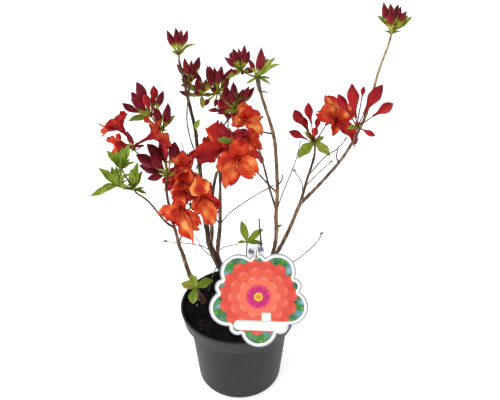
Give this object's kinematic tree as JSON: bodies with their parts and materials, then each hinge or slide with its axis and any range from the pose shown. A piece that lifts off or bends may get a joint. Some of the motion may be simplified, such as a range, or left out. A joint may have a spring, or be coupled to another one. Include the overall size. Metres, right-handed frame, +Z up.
{
  "type": "potted azalea shrub",
  "caption": "Young deciduous azalea shrub in a round nursery pot, with bare upright stems, crimson bud trusses and orange funnel flowers at the tips, and a blank-worded care label.",
  "frame": {"origin": "middle of the pot's flat underside, on the surface it stands on", "axes": "+Z up along the pot's axis, +X to the right and -Y towards the viewer of the picture, whose side the care label leans on"},
  "size_m": [0.3567, 0.2102, 0.5514],
  "materials": {
    "pot_plastic": "matt moulded dark grey plastic",
    "compost": "damp near-black peat compost with a few bark crumbs",
    "dark_bark": "rough dark brown bark",
    "tan_bark": "smoother tan young bark",
    "blossom": "soft satin petals, orange red with a paler orange blotch",
    "bud": "satin dark crimson buds with green bases",
    "leaf": "soft fresh green young leaves",
    "label": "smooth printed plastic card"
  },
  "bodies": {
    "root": {"pot": "pot_plastic", "soil": "compost", "trunk": "dark_bark", "bough_centre": "dark_bark", "bough_centre_left": "dark_bark", "bough_centre_right": "dark_bark", "bough_middle": "dark_bark", "bough_right_low": "tan_bark", "bough_right_upright": "tan_bark", "bough_right_outer": "tan_bark", "bough_far_right": "tan_bark", "bough_right_back": "tan_bark", "bough_back": "dark_bark", "bough_left_low": "tan_bark", "bough_left_upper": "tan_bark", "bough_far_left": "tan_bark", "stub": "dark_bark", "spur": "tan_bark", "label_card": "label", "truss_top_left": "bud", "truss_top_right": "bud", "truss_upper_right": "bud", "truss_upper_middle": "bud", "truss_upper_left": "bud", "flowers_upper": "blossom", "flowers_front": "blossom", "flowers_middle": "blossom", "crown_left": "blossom", "leaves_far_left": "leaf", "flowers_low_left": "blossom", "truss_right": "blossom", "flowers_right": "blossom", "flowers_back": "blossom", "flowers_back_left": "blossom", "leaves_low_left": "leaf", "leaves_middle": "leaf"}
  },
  "joints": []
}
